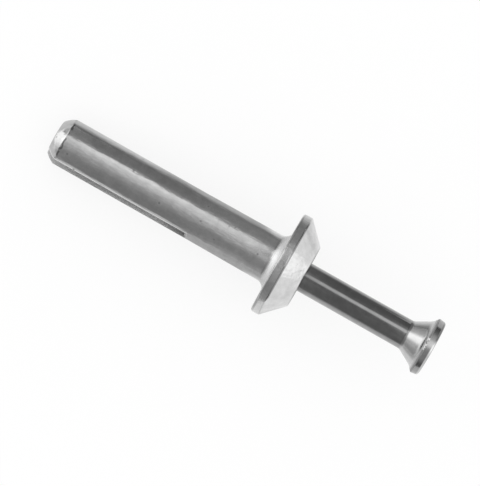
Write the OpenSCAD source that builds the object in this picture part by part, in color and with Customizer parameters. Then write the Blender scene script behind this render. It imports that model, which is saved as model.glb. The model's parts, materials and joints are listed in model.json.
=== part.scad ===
// Hammer drive anchor: a slotted die-cast body with a flanged head, and the nail that is
// driven down its bore until the nail's crown is flush with the top of the head.
// It lies as it comes to rest: on the rim of the flange and the shoulder of the tip, with
// the nail end raised. The origin is the centre of the flange's bearing face, and the
// anchor's axis runs from there in the XZ plane, towards +X at the nail end.

/* [Shank] */
// Diameter of the slotted shank, for a hole of the anchor's nominal size
shank_d = 6.25; // [5.6:0.05:8]
// How much wider the unslotted neck grows by the bearing face, from the mould's draft
neck_draft = 0.15; // [0:0.05:0.4]
// Length of the shank under the head, from the bearing face to the end of the tip
shank_len = 31.75; // [26:0.25:60]
// Length of the bevelled nose at the tip
nose_len = 1.3; // [0.8:0.05:2.5]
// Diameter of the flat end of the nose
nose_d = 4.4; // [3:0.05:5]
// How far the bevel of the nose bows out from a straight cone
nose_bow = 0.13; // [0:0.01:0.15]
// Edge radius of the shoulder between the nose and the shank
shoulder_round = 0.35; // [0.1:0.05:0.4]
// Radius of the fillet between the shank and the flange
underhead_fillet = 1.1; // [0.4:0.1:1.6]

/* [Slot] */
// Width of the slot that lets the legs of the shank spread
slot_w = 1.6; // [0.8:0.1:2.2]
// Length of the slot, from the end of the tip
slot_len = 20; // [10:0.5:23]
// Turn of the slot about the anchor's axis, from the upright plane
slot_turn = 70; // [20:1:160]
// Length over which the slot runs out to the surface of the shank past its root
slot_runout = 0.45; // [0.2:0.05:0.8]
// Depth of the run-out at the slot's root
runout_depth = 0.3; // [0.1:0.05:0.6]

/* [Head] */
// Diameter of the flange
flange_d = 13.8; // [13.4:0.1:16]
// Height of the flange's straight rim
rim_h = 1.2; // [1.1:0.1:1.8]
// Height of the head, from the bearing face to its flat top
head_h = 3.85; // [3.4:0.05:4]
// Angle of the head's cone from its axis
cone_angle = 46; // [38:1:46]
// Edge radius of the flange's rim
rim_round = 0.35; // [0.1:0.05:0.45]
// Edge radius between the head's cone and its flat top
top_round = 0.4; // [0.1:0.05:0.45]

/* [Nail] */
// Diameter of the nail's wire
nail_d = 3.9; // [3.2:0.05:4]
// How far the nail stands out of the head before it is driven, which is also its travel
nail_rise = 18.4; // [6:0.1:20]
// Distance from the driven nail's point to the end of the tip
point_short = 2.6; // [1.6:0.1:4]
// Length of the nail's tapered point
point_len = 3.2; // [2:0.1:5]
// Diameter of the point's blunt end
point_d = 0.8; // [0.4:0.1:1.6]
// Clearance of the nail in the bore, and of its head in the seat
nail_gap = 0.05; // [0.02:0.01:0.09]

/* [Nail head] */
// Largest diameter of the nail's head
nail_head_d = 7.6; // [7:0.05:7.8]
// Height of the crown in the middle of the nail's head
crown_h = 0.15; // [0.05:0.01:0.3]
// Depth of the head's rim below the top of the crown
nail_rim_depth = 1.1; // [0.8:0.05:1.3]
// How much the rim draws in towards the top, on the radius
nail_rim_draw = 0.12; // [0:0.01:0.2]
// Angle of the lip under the rim, from the nail's axis
lip_angle = 50; // [40:1:55]
// Diameter at which the lip turns into the flare
flare_d = 6.2; // [5.4:0.1:6.4]
// Angle of the flare from the nail's axis
flare_angle = 29; // [24:1:34]

/* [Hidden] */

$fn = 96;
arc_steps = 8;      // chords in each rounded corner
overrun = 1;        // how far a cut runs past what it cuts
nose_edge = 0.35;   // edge radius round the end of the nose
nose_sweep = 3;     // radius in the middle of the bowed nose
cone_edge = 0.3;    // edge radius between the rim and the head's cone
nail_top_edge = 0.4;
nail_rim_edge = 0.1;
lip_fillet = 1.5;
wire_fillet = 1;
point_shoulder = 2;
point_edge = 0.2;
seam_turn = 180;    // keeps the seam of the body's turned faces off the ground line
draft_lap = 0.5;    // how far the drafted neck reaches past the slot's root

shank_r = shank_d / 2;
neck_len = shank_len - slot_len + draft_lap;
nose_r = nose_d / 2;
flange_r = flange_d / 2;
top_r = flange_r - (head_h - rim_h) * tan(cone_angle);

nail_r = nail_d / 2;
nail_head_r = nail_head_d / 2;
flare_r = flare_d / 2;
nail_len = head_h + shank_len - point_short;
flare_z = -nail_rim_depth - (nail_head_r - flare_r) / tan(lip_angle);
wire_z = flare_z - (flare_r - nail_r) / tan(flare_angle);
crown_r = (pow(nail_head_r, 2) + pow(crown_h, 2)) / (2 * crown_h);

// The lean of the axis when the anchor lies on the ground: the ground touches the rounded
// shoulder of the nose and the rounded edge of the rim.
shoulder_turn = atan(nose_len / (shank_r - nose_r - 2 * nose_bow));
contact_run = shank_len - nose_len + rim_round
    - shoulder_round * tan((90 - shoulder_turn) / 2);
contact_drop = flange_r - rim_round - (shank_r - shoulder_round);
lean = atan(contact_drop / contact_run)
    + asin((rim_round - shoulder_round) / norm([contact_run, contact_drop]));

// A corner [x, y, radius] of an outline, rounded between its two neighbours.
function rounded_corner(before, corner, after) =
    let (
        p = [corner.x, corner.y],
        to_before = unit([before.x, before.y] - p),
        to_after = unit([after.x, after.y] - p),
        half = acos(to_before * to_after) / 2,
        centre = p + unit(to_before + to_after) * corner.z / sin(half),
        start = p + to_before * corner.z / tan(half) - centre,
        side = sign(to_before.x * to_after.y - to_before.y * to_after.x),
        sweep = -side * (180 - 2 * half)
    )
    [for (i = [0:arc_steps]) centre + turned(start, sweep * i / arc_steps)];

function unit(v) = v / norm(v);
function turned(v, angle) =
    [v.x * cos(angle) - v.y * sin(angle), v.x * sin(angle) + v.y * cos(angle)];

// An open outline from corners [x, y, radius]: a radius of 0 keeps the corner sharp.
function outline(corners) = [
    for (i = [0:len(corners) - 1])
        let (c = corners[i])
        each c.z > 0
            ? rounded_corner(corners[i - 1], c, corners[i + 1])
            : [[c.x, c.y]]
];

// Half section of the body, from the end of the tip to the top of the head
function body_outline() = outline([
    [0, -shank_len, 0],
    [nose_r, -shank_len, nose_edge],
    [(nose_r + shank_r) / 2 + nose_bow, -shank_len + nose_len / 2, nose_sweep],
    [shank_r, -shank_len + nose_len, shoulder_round],
    [shank_r, -neck_len, 0],
    [shank_r + neck_draft / 2, 0, underhead_fillet],
    [flange_r, 0, rim_round],
    [flange_r, rim_h, cone_edge],
    [top_r, head_h, top_round],
    [0, head_h, 0],
]);

// Half section of the nail's crown, from the middle of the head outwards
function crown_outline() = [
    for (i = [0:arc_steps - 1])
        let (x = (nail_head_r - nail_top_edge) * i / arc_steps)
        [x, sqrt(pow(crown_r, 2) - x * x) - crown_r, 0]
];

// Half section of the nail below its rim, with the top of its crown at 0
function nail_side(gap) = [
    [nail_head_r + gap, -nail_rim_depth, nail_rim_edge],
    [flare_r + gap, flare_z, lip_fillet],
    [nail_r + gap, wire_z, wire_fillet],
    [nail_r + gap, -nail_len + point_len, point_shoulder],
    [point_d / 2 + gap, -nail_len - gap, point_edge],
    [0, -nail_len - gap, 0],
];

function nail_outline() = outline(concat(
    crown_outline(),
    [[nail_head_r - nail_rim_draw, -crown_h, nail_top_edge]],
    nail_side(0)
));

// The hole down the body: the nail's own form with its clearance, open at the top
function bore_outline() = outline(concat(
    [[0, overrun, 0], [nail_head_r + nail_gap, overrun, 0]],
    nail_side(nail_gap)
));

// Lays what stands on the bearing face down on its side, nail end raised by the lean
module lie_down() {
    rotate([0, 90 - lean, 0]) children();
}

// Outline of the slot in its own plane, with a slope at each side of its root where it runs
// out to the surface
function slot_outline() =
    let (
        root = -shank_len + slot_len,
        wide = shank_r + overrun,
        slope = slot_runout / runout_depth
    )
    [
        [-wide, -shank_len - overrun],
        [wide, -shank_len - overrun],
        [wide, root + slope * (overrun + runout_depth)],
        [shank_r - runout_depth, root],
        [-shank_r + runout_depth, root],
        [-wide, root + slope * (overrun + runout_depth)],
    ];

module slot() {
    rotate([90, 0, slot_turn])
        translate([0, 0, -slot_w / 2])
            linear_extrude(slot_w) polygon(slot_outline());
}

module anchor_body() {
    color("silver")
    lie_down()
    difference() {
        rotate([0, 0, seam_turn]) rotate_extrude() polygon(body_outline());
        translate([0, 0, head_h]) rotate_extrude() polygon(bore_outline());
        slot();
    }
}

module drive_nail() {
    color("dimgray")
    lie_down()
    translate([0, 0, head_h + nail_rise])
        rotate_extrude() polygon(nail_outline());
}

anchor_body();
drive_nail();
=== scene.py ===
"""Hammer drive anchor: its finishes, and a small light tent round it."""

import json
import math

import bpy
from mathutils import Matrix, Vector


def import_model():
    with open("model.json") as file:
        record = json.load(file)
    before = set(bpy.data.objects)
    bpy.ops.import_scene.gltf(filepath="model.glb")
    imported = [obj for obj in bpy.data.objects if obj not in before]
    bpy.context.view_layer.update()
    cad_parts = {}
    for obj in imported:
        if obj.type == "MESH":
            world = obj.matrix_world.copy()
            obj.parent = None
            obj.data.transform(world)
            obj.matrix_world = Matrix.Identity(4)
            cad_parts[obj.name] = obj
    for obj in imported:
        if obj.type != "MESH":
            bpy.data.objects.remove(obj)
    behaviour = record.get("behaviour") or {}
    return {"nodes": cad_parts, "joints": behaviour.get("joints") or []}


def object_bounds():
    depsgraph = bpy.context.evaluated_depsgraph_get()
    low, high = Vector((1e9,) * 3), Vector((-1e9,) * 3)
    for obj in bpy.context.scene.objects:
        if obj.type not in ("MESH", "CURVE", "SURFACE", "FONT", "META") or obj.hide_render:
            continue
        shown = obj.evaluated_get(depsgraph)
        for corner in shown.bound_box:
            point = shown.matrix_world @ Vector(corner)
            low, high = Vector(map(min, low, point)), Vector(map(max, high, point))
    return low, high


MM = 0.001
DEGREE = math.radians(1)
WHITE = (1, 1, 1, 1)

# The anchor's axis points from the tip to the nail's head, the way the nail comes out.
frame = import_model()
CAD_BOX = [list(corner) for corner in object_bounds()]
NAIL_DRIVE = frame["joints"][0]
AXIS = -Vector(NAIL_DRIVE["axis"]).normalized()
LEAN = math.atan2(AXIS.z, AXIS.x)
SIDE = Vector((0, -1, 0))
GROUND = CAD_BOX[0][2]

# Camera: how far it is, the height that it sees, its sensor's width in millimetres, how near
# it sees, how it is turned and where it looks
CAMERA_DISTANCE = 450 * MM
PICTURE_HEIGHT = 60.6 * MM
SENSOR = 36.0
CLIP_START = 10 * MM
TURN_IN_PICTURE = math.radians(29.5)
OFF_SQUARE = math.radians(1.5)
LOOK_ALONG = -5.2 * MM
LOOK_ASIDE = 0.25 * MM

# Sizes of the anchor, in millimetres
SHANK_LENGTH = 31.75
NOSE_LENGTH = 1.3
SLOT_LENGTH = 20
SLOT_WIDTH = 1.6
SLOT_TURN = math.radians(70)
HEAD_HEIGHT = 3.85
RIM_HEIGHT = 1.2
FLANGE_RADIUS = CAD_BOX[1][1] / MM
NAIL_RISE = NAIL_DRIVE["range_m"][1] / MM

# Places on the anchor are in millimetres too: x is along its axis from the bearing face, and
# y and z are across it. A pair says where a mark or a change of finish starts and ends.

# Slot: its root, how far its finish reaches past its root and its walls, and the painted highlight
# along its lips
SLOT_ROOT = SLOT_LENGTH - SHANK_LENGTH
SLOT_FINISH_TO = SLOT_ROOT + 0.3
SLOT_WALLS_TO = SLOT_WIDTH / 2 + 0.04
SLOT_LIP_HIGHLIGHT = (SLOT_WIDTH / 2 + 0.06, SLOT_WIDTH / 2 + 0.18)

# The dark line at the nose's shoulder, dirt and the painted shade of a burr, with how far it
# wanders, and the underhead fillet
SHOULDER = NOSE_LENGTH - SHANK_LENGTH
SHOULDER_DARK_LINE = (SHOULDER + 0.01, SHOULDER + 0.27)
SHOULDER_LINE_WANDER = 0.3
FILLET = (-0.95, -0.65)

# The head: how far out its rim begins, its faces, the painted shade on the rim's edges, and where
# across that painted shade fades out
RIM_FROM = FLANGE_RADIUS - 0.45
BEARING_FACE_TO = 0.06
RIM_EDGE = (BEARING_FACE_TO, 0.3)
RIM_CORNER = (RIM_HEIGHT - 0.08, RIM_HEIGHT + 0.13)
CONE = (RIM_HEIGHT - 0.05, RIM_HEIGHT + 0.05)
HEAD_TOP = (HEAD_HEIGHT - 0.12, HEAD_HEIGHT - 0.06)
EDGE_SHADE_FADE = (-4.9, -4.3)
CORNER_END = (5.9, 6.3)

# The nail's head: where its flare, its lip, its rim and its crown begin, and where the grey
# changes there
NAIL_TOP = HEAD_HEIGHT + NAIL_RISE
FLARE_FROM = NAIL_TOP - 3.85
LIP_FROM = NAIL_TOP - 1.45
NAIL_RIM_FROM = NAIL_TOP - 1
CROWN_FROM = NAIL_TOP - 0.3
FLARE = (FLARE_FROM - 0.1, FLARE_FROM + 0.3)
LIP = (LIP_FROM + 0.12, LIP_FROM + 0.2)
CROWN_EDGE = (CROWN_FROM - 0.15, CROWN_FROM - 0.05)
CROWN = (CROWN_FROM + 0.12, CROWN_FROM + 0.2)

# Painted glints on the nail's lip, drawn as bright nicks, along it and across
GLINTS_ALONG = (LIP[0], NAIL_RIM_FROM - 0.06)
GLINTS_ASIDE = (-0.6, 1.1)

# Layers of unevenness: stretch along the axis, scale, detail and roughness of the noise, and
# height in millimetres
ZINC_LAYERS = {
    "waves": (1, 0.45, 1, 0.5, 0.018),
    "mottle": (0.3, 1.3, 2, 0.5, 0.042),
    "streaks": (0.14, 2.8, 4, 0.6, 0.010),
    "grain": (1, 5, 4, 0.65, 0.004),
}
STEEL_LAYERS = {
    "waves": (1, 0.4, 1, 0.5, 0.012),
    "lines": (0.05, 4, 3, 0.5, 0.0008),
}

# The part of a noise's range that shows, and the noise from which a broken mark shows
NOISE_RANGE = (0.3, 0.7)
SHOULDER_LINE_SHOWS = 0.42
PITS_SHOW = 0.50
GLINTS_SHOW = 0.45

# Pits, painted darker as painted shade: how many cells that can hold one fit in a millimetre, and a
# pit's edge in its cell
PIT_SCALE = 0.75
PIT_EDGE = (0.05, 0.15)

# Greys of the zinc: darkest and lightest of the cast surface, how much lighter the cone is painted
# as painted light, and the other faces and marks: the head's top, the rim's edge and corner and the
# pits in painted shade, the fillet in painted light, the shoulder line in dirt and painted shade,
# and the slot's lips in a painted highlight
ZINC_GREYS = (0.62, 0.74)
CONE_PAINTED_LIGHT = 1.04
HEAD_TOP_PAINTED_SHADE = 0.45
FILLET_PAINTED_LIGHT = 0.92
RIM_EDGE_PAINTED_SHADE = 0.52
RIM_CORNER_PAINTED_SHADE = 0.33
SHOULDER_DIRT_AND_SHADE = 0.30
SLOT_LIP_HIGHLIGHT_GREY = 0.97
PIT_SHADE_GREY = 0.36

# Greys inside the slot, painted light and shade: the grey at the tip, then a painted lighter stretch
# where light comes in, and painted shade on the way to the root
SLOT_TIP_PAINTED_LIGHT = 0.74
SLOT_PAINTED_LIGHT_AND_SHADE = [((-25, -17), 0.86), ((-15.5, SLOT_ROOT - 1), 0.60)]

# Roughness of the zinc
CAST_ROUGHNESS = (0.09, 0.15)
CONE_ROUGHNESS = 0.18
RIM_ROUGHNESS = 0.16
FILLET_ROUGHNESS = 0.50
SLOT_ROUGHNESS = 0.62

# Greys of the steel: darkest and lightest of the wire and of the flare, the lip's painted glints,
# the crown, and the crown's edge from side to side, a painted highlight
WIRE_GREYS = (0.34, 0.40)
FLARE_GREYS = (0.56, 0.62)
LIP_GLINT_GREY = 0.97
CROWN_GREY = 0.32
CROWN_EDGE_HIGHLIGHT_GREYS = [(-4, 0.62), (-1.12, 0.50), (-0.16, 0.80), (0.4, 0.80), (1.28, 0.17), (4, 0.22)]

# Roughness of the steel: the wire's, and the changes on the way to the crown
WIRE_ROUGHNESS = (0.12, 0.18)
NAIL_ROUGHNESS = [
    ((FLARE_FROM, FLARE_FROM + 0.3), 0.21),
    ((LIP_FROM - 0.05, LIP_FROM + 0.05), 0.60),
    ((NAIL_RIM_FROM - 0.1, NAIL_RIM_FROM), 0.18),
]

# Edges that turn by more than this stay sharp.
SHARP_ANGLE = math.radians(30)

# The floor: half its size, and how much of what is seen of it is its own light
FLOOR_HALF = 3.0
TABLE_LIGHT = 0.78

# Light tent: a near tube over the anchor, far cards past its open ends, and a card on the
# floor. The tube's ends are along the anchor, and its sides are degrees from the zenith.
TUBE_RADIUS = 80 * MM
TUBE_ENDS = (-62 * MM, 62 * MM)
TUBE_SIDES = (-92, 92)
FAR_CARD = 260 * MM
FAR_SKY = 300 * MM
FLOOR_CARD_LIFT = 0.05 * MM

# Faces along each curved side of the tube and of the far cards
TUBE_FACES = 48
FAR_CARD_FACES = 12

# Brightness round the tube: degrees from the zenith towards +Y, and the strength there
END_SHADE = [(-92, 0.30), (-40, 0.30), (-14, 0.54), (24, 0.62), (40, 0.30), (95, 0.30)]
SHANK_LIGHT = [
    (-90, 0.24), (-84, 0.22), (-60, 0.22), (-47, 0.235), (-39, 0.26), (-25, 0.33),
    (-11, 0.42), (2, 0.57), (16, 0.76), (24, 0.83), (28, 0.90), (35, 0.92),
    (40, 0.34), (50, 0.21), (60, 0.19), (95, 0.18),
]
NECK_LIGHT = [
    (-92, 0.42), (-84, 0.38), (-73, 0.31), (-62, 0.27), (-38, 0.26), (-29, 0.31),
    (-21, 0.40), (-14, 0.52), (-8, 0.60), (8, 0.60), (16, 0.68), (22, 0.78),
    (33, 0.76), (39, 0.46), (48, 0.30), (56, 0.265), (64, 0.235), (95, 0.235),
]
RIM_LIGHT = [
    (-90, 0.26), (-60, 0.24), (-47, 0.26), (-38, 0.36), (-27, 0.44), (-15, 0.45),
    (-4, 0.33), (3, 0.25), (16, 0.24), (22, 0.31), (30, 0.34), (38, 0.50),
    (44, 0.44), (50, 0.33), (57, 0.27), (64, 0.22), (95, 0.24),
]
WIRE_LIGHT = [
    (-90, 0.30), (-82, 0.20), (-10, 0.18), (6, 0.20), (12, 0.93), (27, 0.93),
    (33, 0.19), (50, 0.16), (95, 0.15),
]
NAIL_HEAD_LIGHT = [
    (-92, 0.17), (-78, 0.14), (-68, 0.20), (-58, 0.35), (-45, 0.43), (-18, 0.43),
    (-10, 0.48), (-5, 0.66), (0, 1.10), (8, 1.60), (22, 1.60), (30, 0.95),
    (36, 0.74), (50, 0.52), (57, 0.30), (70, 0.16), (82, 0.11), (95, 0.11),
]

# Sections of the tube towards +X: where each fades in, in millimetres, and its brightness
TUBE_SECTIONS = [
    ((-39, -34), SHANK_LIGHT),
    ((-16, -10), NECK_LIGHT),
    ((-1.1, 0.1), RIM_LIGHT),
    ((4.5, 5.5), WIRE_LIGHT),
    ((23.5, 24.5), NAIL_HEAD_LIGHT),
]

# How far the sections move towards the tip overhead, because the anchor leans
OVERHEAD_SHIFT = 12 * MM

# Brightness of the floor in the gloss: millimetres towards +Y, and the strength there
FLOOR_BY_SLOT = [
    (-300, 0.30), (-90, 0.36), (-45, 0.66), (8, 0.72), (13, 0.46), (18, 0.30),
    (28, 0.17), (300, 0.16),
]
FLOOR_BY_ROOT = [
    (-300, 0.30), (-90, 0.36), (-45, 0.66), (0, 0.66), (6, 0.54), (14, 0.33),
    (25, 0.19), (300, 0.16),
]
FLOOR_BY_NECK = [
    (-300, 0.40), (-20, 0.48), (0, 0.52), (6, 0.54), (14, 0.46), (20, 0.33),
    (27, 0.24), (40, 0.215), (300, 0.215),
]
FLOOR_BY_HEAD = [
    (-300, 0.38), (-20, 0.46), (-5, 0.80), (0, 0.90), (9, 0.85), (15, 0.60),
    (24, 0.36), (40, 0.20), (300, 0.17),
]
FLOOR_BY_RIM = [
    (-300, 0.75), (-90, 0.92), (-45, 0.92), (-25, 0.88), (-8, 0.85), (0, 0.90),
    (9, 0.85), (15, 0.60), (24, 0.36), (40, 0.20), (300, 0.17),
]
FLOOR_BY_WIRE = [
    (-300, 0.55), (-60, 0.60), (-25, 0.85), (0, 0.95), (10, 0.88), (17, 0.60),
    (24, 0.30), (32, 0.18), (300, 0.15),
]

# Sections of the floor towards +X: where each fades in, in millimetres, and its brightness
FLOOR_SECTIONS = [
    ((-42, -37), FLOOR_BY_SLOT),
    ((-20, -16), FLOOR_BY_ROOT),
    ((-14.2, -12.8), FLOOR_BY_NECK),
    ((-3, -1.5), FLOOR_BY_HEAD),
    ((0.2, 0.7), FLOOR_BY_RIM),
    ((2.5, 3), FLOOR_BY_HEAD),
    ((4, 7), FLOOR_BY_WIRE),
]

# The floor at the tip's end and past the nail: where each fades in, and its even brightness
FLOOR_AT_TIP = ((-70, -55), 0.70)
FLOOR_PAST_NAIL = ((18, 21), 0.88)

# Brightness past the tip, low and high: degrees towards +Y, and the strength there
TIP_LIGHT = [(-36, 0.50), (-24, 0.78), (-10, 1.22), (0, 1.36), (21, 1.32), (23, 0.70)]
TIP_LIGHT_HIGH = [(-36, 0.32), (-24, 0.34), (-15, 0.72), (-5, 1.50), (14, 1.60), (22, 1.75)]

# Brightness of the sky past the tip: towards -Y, low and high towards +Y, and where that
# changes, in millimetres
TIP_SKY_DIM = 0.40
TIP_SKY_LOW = 0.52
TIP_SKY_HIGH = 1.30
TIP_SKY_FADE = (-20, 40)

# Heights in millimetres between which the low light past the tip gives way to the high one
TIP_CARD_SPLIT = (88, 112)
TIP_SKY_SPLIT = (100, 130)

# Far cards: which way along X they stand, how wide and how high they reach in degrees, and
# the brightness of the even ones
TOWARDS_TIP = -1
TOWARDS_NAIL = 1
SKY_WIDTH = (-89, 89)
SKY_HEIGHT = (-3, 89)
TIP_CARD_WIDTH = (TIP_LIGHT[0][0], TIP_LIGHT[-1][0])
TIP_CARD_HEIGHT = (-1, 42)
NAIL_CARD_WIDTH = (-8, 19)
NAIL_CARD_HEIGHT = (-1, 30)
NAIL_SKY_LIGHT = 0.93
NAIL_CARD_LIGHT = 1.25


# ---------------------------------------------------------------- node helpers


class Nodes:
    """Adds shader nodes to a tree with few words."""

    def __init__(self, tree):
        self.tree = tree

    def add(self, kind, inputs=None, **settings):
        node = self.tree.nodes.new(kind)
        for name, value in settings.items():
            setattr(node, name, value)
        for name, value in (inputs or {}).items():
            self.put(node.inputs[name], value)
        return node

    def put(self, socket, value):
        if isinstance(value, bpy.types.NodeSocket):
            self.tree.links.new(value, socket)
        else:
            socket.default_value = value

    def split(self, vector):
        """The x, y and z of a vector."""
        return self.add("ShaderNodeSeparateXYZ", {"Vector": vector}).outputs

    def math(self, operation, a, b=0.0):
        return self.add("ShaderNodeMath", {0: a, 1: b}, operation=operation).outputs[0]

    def both(self, a, b):
        return self.math("MULTIPLY", a, b)

    def above(self, value, limit):
        return self.math("GREATER_THAN", value, limit)

    def below(self, value, limit):
        return self.math("LESS_THAN", value, limit)

    def between(self, value, low, high):
        return self.both(self.above(value, low), self.below(value, high))

    def spread(self, value, low, high, from_low=0.0, from_high=1.0):
        """Goes from low to high while the value goes from from_low to from_high."""
        limits = {"From Min": from_low, "From Max": from_high, "To Min": low, "To Max": high}
        return self.add("ShaderNodeMapRange", {"Value": value, **limits}).outputs["Result"]

    def vary(self, place, value, changes, unit=1):
        """Varies a value from place to place: each change is a range and the new value."""
        for (start, end), new in changes:
            value = self.spread(place, value, new, start * unit, end * unit)
        return value

    def ramp(self, place, stops, unit=1):
        """A ramp of greys along a range of places: stops are (place, grey)."""
        first, last = stops[0][0], stops[-1][0]
        share = self.spread(place, 0, 1, first * unit, last * unit)
        node = self.add("ShaderNodeValToRGB", {"Fac": share})
        elements = node.color_ramp.elements
        while len(elements) < len(stops):
            elements.new(0.5)
        for element, (stop, grey) in zip(elements, stops):
            element.position = (stop - first) / (last - first)
            element.color = (grey, grey, grey, 1)
        return node.outputs["Color"]

    def noise(self, vector, scale, detail=2.0, roughness=0.5):
        inputs = {"Vector": vector, "Scale": scale, "Detail": detail, "Roughness": roughness}
        return self.add("ShaderNodeTexNoise", inputs).outputs["Fac"]

    def bump(self, height, distance, normal=None):
        inputs = {"Height": height, "Distance": distance, "Strength": 1.0}
        if normal is not None:
            inputs["Normal"] = normal
        return self.add("ShaderNodeBump", inputs).outputs["Normal"]

    def surface(self, shader):
        self.add("ShaderNodeOutputMaterial", {"Surface": shader})


def new_material(name):
    material = bpy.data.materials.new(name)
    material.use_nodes = True
    material.node_tree.nodes.clear()
    return material, Nodes(material.node_tree)


# ------------------------------------------------------------------- materials


def axis_coordinates(nodes, stretch=1):
    """Object coordinates in millimetres, turned so that x runs along the anchor's axis. A
    stretch below 1 draws out along the axis what is made from them."""
    coordinates = nodes.add("ShaderNodeTexCoord").outputs["Object"]
    turn = {"Vector": coordinates, "Rotation": (0, LEAN, 0)}
    turned = nodes.add("ShaderNodeMapping", turn).outputs["Vector"]
    scale = {"Vector": turned, "Scale": (stretch / MM, 1 / MM, 1 / MM)}
    return nodes.add("ShaderNodeMapping", scale).outputs["Vector"]


class Place:
    """A point's place on the anchor, in millimetres, with x along the axis."""

    def __init__(self, nodes):
        self.vector = axis_coordinates(nodes)
        self.x, self.y, self.z = nodes.split(self.vector)


def uneven(nodes, layers):
    """Bumps on top of one another, and the noises that they are made from."""
    normal = None
    noises = {}
    for name, (stretch, scale, detail, roughness, height) in layers.items():
        coordinates = axis_coordinates(nodes, stretch)
        noises[name] = nodes.noise(coordinates, scale, detail, roughness)
        normal = nodes.bump(noises[name], height * MM, normal)
    return normal, noises


def metal(nodes, base, roughness, normal):
    finish = {"Base Color": base, "Metallic": 1.0, "Roughness": roughness, "Normal": normal}
    nodes.surface(nodes.add("ShaderNodeBsdfPrincipled", finish).outputs["BSDF"])


def off_slot(nodes, at):
    """Distance from the slot's mid-plane."""
    by_y = nodes.math("MULTIPLY", at.y, math.cos(SLOT_TURN))
    by_z = nodes.math("MULTIPLY", at.z, math.sin(SLOT_TURN))
    return nodes.math("ABSOLUTE", nodes.math("ADD", by_y, by_z))


def slot_mask(nodes, at):
    """1 on the walls of the slot, 0 elsewhere."""
    walls = nodes.below(off_slot(nodes, at), SLOT_WALLS_TO)
    return nodes.both(walls, nodes.below(at.x, SLOT_FINISH_TO))


def lip_highlight_mask(nodes, at):
    """1 on the edges of the slot's mouths, painted lighter as a painted highlight, 0 elsewhere."""
    lips = nodes.between(off_slot(nodes, at), *SLOT_LIP_HIGHLIGHT)
    return nodes.both(lips, nodes.below(at.x, SLOT_FINISH_TO))


def far_out(nodes, at):
    """1 as far from the axis as the flange's rim, 0 nearer to it."""
    squares = nodes.math("ADD", nodes.math("POWER", at.y, 2), nodes.math("POWER", at.z, 2))
    return nodes.above(nodes.math("POWER", squares, 0.5), RIM_FROM)


def rim_mask(nodes, at):
    """1 on the straight rim of the flange, 0 elsewhere."""
    return nodes.both(far_out(nodes, at), nodes.below(at.x, CONE[0]))


def edge_shade_share(nodes, at):
    """0 at the side of the rim where the painted shade on its edges is left off, 1 elsewhere."""
    return nodes.spread(at.y, 0, 1, *EDGE_SHADE_FADE)


def rim_edge_shade_mask(nodes, at):
    """1 on the edge of the rim round the bearing face, painted darker as painted shade, 0 elsewhere.
    """
    edge = nodes.both(far_out(nodes, at), nodes.between(at.x, *RIM_EDGE))
    return nodes.both(edge, edge_shade_share(nodes, at))


def rim_corner_shade_mask(nodes, at):
    """1 on the corner between the flange's rim and the cone, painted darker as painted shade, 0
    elsewhere.
    """
    corner = nodes.both(far_out(nodes, at), nodes.between(at.x, *RIM_CORNER))
    corner_shade = nodes.both(edge_shade_share(nodes, at), nodes.spread(at.y, 1, 0, *CORNER_END))
    return nodes.both(corner, corner_shade)


def fillet_mask(nodes, at):
    """1 on the fillet under the head and the bearing face, 0 elsewhere."""
    return nodes.both(nodes.below(at.x, BEARING_FACE_TO), nodes.spread(at.x, 0, 1, *FILLET))


def shoulder_dirt_and_shade_mask(nodes, at):
    """1 on the broken dark line round the nose's shoulder, partly dirt and partly the painted shade
    of a burr, 0 elsewhere.
    """
    wander = nodes.spread(nodes.noise(at.vector, scale=1.6), -SHOULDER_LINE_WANDER, SHOULDER_LINE_WANDER)
    line = nodes.between(nodes.math("ADD", at.x, wander), *SHOULDER_DARK_LINE)
    broken = nodes.above(nodes.noise(at.vector, scale=0.9, detail=1.0), SHOULDER_LINE_SHOWS)
    outside = nodes.math("SUBTRACT", 1, slot_mask(nodes, at))
    return nodes.both(nodes.both(line, broken), outside)


def pit_shade_mask(nodes, at):
    """1 in the few small pits of the shank, painted darker as painted shade, 0 elsewhere."""
    cells = nodes.add("ShaderNodeTexVoronoi", {"Vector": at.vector, "Scale": PIT_SCALE}).outputs
    pits = nodes.spread(cells["Distance"], 1, 0, *PIT_EDGE)
    chosen = nodes.above(nodes.noise(at.vector, scale=0.35, detail=0.0), PITS_SHOW)
    return nodes.both(pits, nodes.both(chosen, nodes.below(at.x, FILLET[0])))


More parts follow.
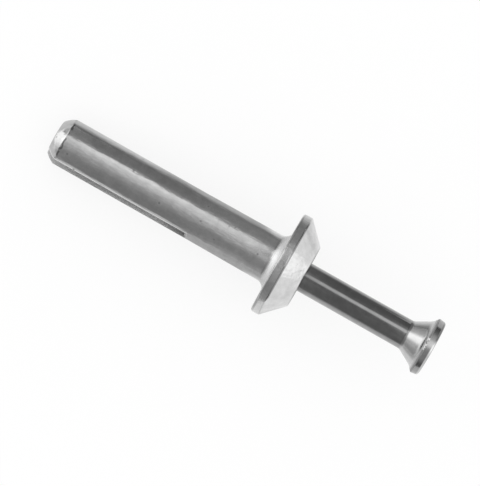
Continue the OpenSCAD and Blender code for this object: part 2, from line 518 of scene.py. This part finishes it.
def zinc_material():
    """Die-cast zinc: a satin grey, wavy from the mould, with fine grain and a few pits. Its greys
    carry painted light and shade: the cone, the fillet, the slot's lips and the slot near its tip
    are painted lighter; the head's top, the rim's edges, the pits and the slot towards its root are
    painted darker, and the nose's shoulder has a line of dirt and painted shade.
    """
    material, nodes = new_material("cast_zinc")
    at = Place(nodes)
    normal, noises = uneven(nodes, ZINC_LAYERS)

    blotches = nodes.noise(at.vector, scale=0.9, detail=4.0, roughness=0.6)
    base = nodes.spread(blotches, *ZINC_GREYS, *NOISE_RANGE)
    # Inside the slot the grey is painted: lighter near the tip as painted light, darker towards the
    # root as painted shade
    inside = nodes.vary(at.x, SLOT_TIP_PAINTED_LIGHT, SLOT_PAINTED_LIGHT_AND_SHADE)
    base = nodes.spread(slot_mask(nodes, at), base, inside)
    # The cone is painted a little lighter: painted light
    cone = nodes.math("MULTIPLY", base, CONE_PAINTED_LIGHT)
    # The head's flat top is painted darker: a painted dark reflection
    base = nodes.vary(at.x, base, [(CONE, cone), (HEAD_TOP, HEAD_TOP_PAINTED_SHADE)])
    marks = [
        # painted light on the fillet
        (fillet_mask, FILLET_PAINTED_LIGHT),
        # painted shade on the rim's edge
        (rim_edge_shade_mask, RIM_EDGE_PAINTED_SHADE),
        # painted shade on the rim's corner
        (rim_corner_shade_mask, RIM_CORNER_PAINTED_SHADE),
        # dirt and painted shade at the nose's shoulder
        (shoulder_dirt_and_shade_mask, SHOULDER_DIRT_AND_SHADE),
        # painted highlight on the slot's lips
        (lip_highlight_mask, SLOT_LIP_HIGHLIGHT_GREY),
        # painted shade in the pits
        (pit_shade_mask, PIT_SHADE_GREY),
    ]
    for mask, grey in marks:
        base = nodes.spread(mask(nodes, at), base, grey)

    roughness = nodes.spread(noises["streaks"], *CAST_ROUGHNESS, *NOISE_RANGE)
    roughness = nodes.vary(at.x, roughness, [(CONE, CONE_ROUGHNESS)])
    finishes = [
        (rim_mask, RIM_ROUGHNESS),
        (fillet_mask, FILLET_ROUGHNESS),
        (slot_mask, SLOT_ROUGHNESS),
    ]
    for mask, finish in finishes:
        roughness = nodes.spread(mask(nodes, at), roughness, finish)
    metal(nodes, base, roughness, normal)
    return material


def lip_glint_mask(nodes, at):
    """1 on the painted glints, drawn as bright nicks, along the upper part of the nail head's lip, 0
    elsewhere.
    """
    upper = nodes.both(nodes.between(at.y, *GLINTS_ASIDE), nodes.above(at.z, 0))
    along = nodes.between(at.x, *GLINTS_ALONG)
    broken = nodes.above(nodes.noise(at.vector, scale=3.5, detail=1.0), GLINTS_SHOW)
    return nodes.both(nodes.both(upper, along), broken)


def steel_material():
    """Drawn nail wire: darker and smoother than the casting, with faint draw lines. The crown's edge
    has a painted highlight, bright in the middle and less so to one side, and the lip has painted
    glints."""
    material, nodes = new_material("nail_steel")
    at = Place(nodes)
    normal, noises = uneven(nodes, STEEL_LAYERS)

    blotches = nodes.noise(at.vector, scale=1.2, detail=4.0)
    wire = nodes.spread(blotches, *WIRE_GREYS, *NOISE_RANGE)
    flare = nodes.spread(blotches, *FLARE_GREYS, *NOISE_RANGE)
    # Painted highlight on the crown's edge, lighter in the middle than at the sides
    crown_edge_highlight = nodes.ramp(at.y, CROWN_EDGE_HIGHLIGHT_GREYS)
    greys = [(FLARE, flare), (LIP, wire), (CROWN_EDGE, crown_edge_highlight), (CROWN, CROWN_GREY)]
    base = nodes.vary(at.x, wire, greys)
    # Painted glints on the upper part of the lip
    base = nodes.spread(lip_glint_mask(nodes, at), base, LIP_GLINT_GREY)

    roughness = nodes.spread(noises["lines"], *WIRE_ROUGHNESS, *NOISE_RANGE)
    roughness = nodes.vary(at.x, roughness, NAIL_ROUGHNESS)
    metal(nodes, base, roughness, normal)
    return material


def dress(node_name, material):
    """Gives a CAD piece its material, with smooth shading between its sharp edges."""
    mesh = frame["nodes"][node_name].data
    mesh.materials.clear()
    mesh.materials.append(material)
    mesh.shade_smooth()
    mesh.set_sharp_from_angle(angle=SHARP_ANGLE)


# ------------------------------------------------------------- floor and light


def new_piece(name, vertices, faces, material):
    mesh = bpy.data.meshes.new(name)
    mesh.from_pydata(vertices, [], faces)
    mesh.materials.append(material)
    piece = bpy.data.objects.new(name, mesh)
    bpy.context.scene.collection.objects.link(piece)
    return piece


def floor_material():
    """White: most of what is seen of it is its own light, so that shadows on it stay light."""
    material, nodes = new_material("floor_white")
    diffuse = nodes.add("ShaderNodeBsdfDiffuse", {"Color": WHITE}).outputs["BSDF"]
    lit = nodes.add("ShaderNodeEmission", {"Color": WHITE, "Strength": 1.0}).outputs["Emission"]
    path = nodes.add("ShaderNodeLightPath").outputs
    seen = nodes.math("MAXIMUM", path["Is Camera Ray"], path["Is Glossy Ray"])
    seen = nodes.math("MAXIMUM", seen, path["Is Transmission Ray"])
    share = nodes.math("MULTIPLY", seen, TABLE_LIGHT)
    mixed = nodes.add("ShaderNodeMixShader", {"Fac": share, 1: diffuse, 2: lit})
    nodes.surface(mixed.outputs["Shader"])
    return material


def floor():
    """The floor that the anchor lies on, like a lit table."""
    sides = [(-1, -1), (1, -1), (1, 1), (-1, 1)]
    corners = [(FLOOR_HALF * x, FLOOR_HALF * y, GROUND) for x, y in sides]
    new_piece("floor", corners, [(0, 1, 2, 3)], floor_material())


def glow(name, strength):
    """An emission of one strength, or of a strength worked out by strength(nodes)."""
    material, nodes = new_material(name)
    value = strength(nodes) if callable(strength) else strength
    light = nodes.add("ShaderNodeEmission", {"Color": WHITE, "Strength": value})
    nodes.surface(light.outputs["Emission"])
    return material


def card(name, strength, point, rows, columns):
    """A card of the light tent, from point(u, v) with u and v from 0 to 1. It shows in the
    metal's gloss and nowhere else."""
    vertices = [point(i / rows, j / columns) for i in range(rows + 1) for j in range(columns + 1)]
    wide = columns + 1
    faces = [
        (i * wide + j, i * wide + j + 1, (i + 1) * wide + j + 1, (i + 1) * wide + j)
        for i in range(rows)
        for j in range(columns)
    ]
    piece = new_piece(name, vertices, faces, glow(name + "_glow", strength))
    piece.visible_camera = False
    piece.visible_diffuse = False
    piece.visible_shadow = False


def part_way(ends, share):
    return ends[0] + (ends[1] - ends[0]) * share


def card_place(nodes):
    """The x, y and z of a point on a card."""
    return nodes.split(nodes.add("ShaderNodeTexCoord").outputs["Object"])


def sections(nodes, x, light, parts, across, unit):
    """Fades from one ramp to the next along x. The ramps' stops are in the unit."""
    ramps = [(fade, nodes.ramp(across, stops, unit)) for fade, stops in parts]
    return nodes.vary(x, light, ramps, MM)


def tube_strength(nodes):
    """Each piece of the anchor has its own light above it, and the tip's end is shaded."""
    x, y, z = card_place(nodes)
    angle = nodes.math("ARCTAN2", y, z)
    overhead = nodes.math("DIVIDE", z, TUBE_RADIUS)
    moved = nodes.math("ADD", x, nodes.math("MULTIPLY", overhead, OVERHEAD_SHIFT))
    shade = nodes.ramp(angle, END_SHADE, DEGREE)
    return sections(nodes, moved, shade, TUBE_SECTIONS, angle, DEGREE)


def tube():
    """A half tube over the anchor with a long light overhead and darker sides."""

    def point(u, v):
        angle = math.radians(part_way(TUBE_SIDES, u))
        across = TUBE_RADIUS * math.sin(angle)
        return (part_way(TUBE_ENDS, v), across, TUBE_RADIUS * math.cos(angle))

    card("tube", tube_strength, point, TUBE_FACES, 1)


def tip_light(nodes, x, y, stops):
    angle = nodes.math("ARCTAN2", y, nodes.math("MULTIPLY", x, -1))
    return nodes.ramp(angle, stops, DEGREE)


def floor_card_strength(nodes):
    """The floor is shaded beside the anchor and lighter past its ends."""
    x, y, _ = card_place(nodes)
    light = nodes.vary(x, tip_light(nodes, x, y, TIP_LIGHT), [FLOOR_AT_TIP], MM)
    light = sections(nodes, x, light, FLOOR_SECTIONS, y, MM)
    return nodes.vary(x, light, [FLOOR_PAST_NAIL], MM)


def floor_card():
    """What the metal sees of the floor."""

    def point(u, v):
        return (FAR_SKY * (2 * u - 1), FAR_SKY * (2 * v - 1), GROUND + FLOOR_CARD_LIFT)

    card("floor_gloss", floor_card_strength, point, 1, 1)


def far_card(name, distance, way, width, height, strength):
    """A card past an end of the tube: way is 1 towards +X and -1 towards -X. The width is
    degrees towards +Y, and the height is degrees above the horizon."""

    def point(u, v):
        azimuth = math.radians(part_way(width, v))
        elevation = math.radians(part_way(height, u))
        along = way * math.cos(azimuth) * math.cos(elevation)
        aside = math.sin(azimuth) * math.cos(elevation)
        return Vector((along, aside, math.sin(elevation))) * distance

    card(name, strength, point, FAR_CARD_FACES, FAR_CARD_FACES)


def tip_card_strength(nodes):
    x, y, z = card_place(nodes)
    low = tip_light(nodes, x, y, TIP_LIGHT)
    high = tip_light(nodes, x, y, TIP_LIGHT_HIGH)
    return nodes.vary(z, low, [(TIP_CARD_SPLIT, high)], MM)


def tip_sky_strength(nodes):
    _, y, z = card_place(nodes)
    low = nodes.vary(y, TIP_SKY_DIM, [(TIP_SKY_FADE, TIP_SKY_LOW)], MM)
    high = nodes.vary(y, TIP_SKY_DIM, [(TIP_SKY_FADE, TIP_SKY_HIGH)], MM)
    return nodes.vary(z, low, [(TIP_SKY_SPLIT, high)], MM)


def far_cards():
    far_card("tip_sky", FAR_SKY, TOWARDS_TIP, SKY_WIDTH, SKY_HEIGHT, tip_sky_strength)
    far_card("tip_card", FAR_CARD, TOWARDS_TIP, TIP_CARD_WIDTH, TIP_CARD_HEIGHT, tip_card_strength)
    far_card("nail_sky", FAR_SKY, TOWARDS_NAIL, SKY_WIDTH, SKY_HEIGHT, NAIL_SKY_LIGHT)
    far_card("nail_card", FAR_CARD, TOWARDS_NAIL, NAIL_CARD_WIDTH, NAIL_CARD_HEIGHT, NAIL_CARD_LIGHT)


def world():
    """Even white light from all sides."""
    sky = bpy.data.worlds.new("world")
    sky.use_nodes = True
    background = sky.node_tree.nodes["Background"].inputs
    background["Color"].default_value = WHITE
    background["Strength"].default_value = 1.0
    bpy.context.scene.world = sky


def camera():
    """Square above the anchor as it lies, turned in the picture, a little off square."""
    tilt = LEAN - OFF_SQUARE
    towards = Vector((-math.sin(tilt), 0, math.cos(tilt)))
    along = Vector((math.cos(tilt), 0, math.sin(tilt)))
    right = along * math.cos(TURN_IN_PICTURE) - SIDE * math.sin(TURN_IN_PICTURE)
    up = -along * math.sin(TURN_IN_PICTURE) - SIDE * math.cos(TURN_IN_PICTURE)
    target = AXIS * LOOK_ALONG + SIDE * LOOK_ASIDE

    data = bpy.data.cameras.new("camera")
    data.sensor_width = SENSOR
    data.lens = SENSOR * CAMERA_DISTANCE / PICTURE_HEIGHT
    data.clip_start = CLIP_START
    piece = bpy.data.objects.new("camera", data)
    bpy.context.scene.collection.objects.link(piece)
    turned = Matrix((right, up, towards)).transposed().to_4x4()
    turned.translation = target + towards * CAMERA_DISTANCE
    piece.matrix_world = turned
    bpy.context.scene.camera = piece


bpy.context.scene.view_settings.view_transform = "Standard"
camera()
world()
floor()
floor_card()
tube()
far_cards()
dress("anchor_body", zinc_material())
dress("drive_nail", steel_material())
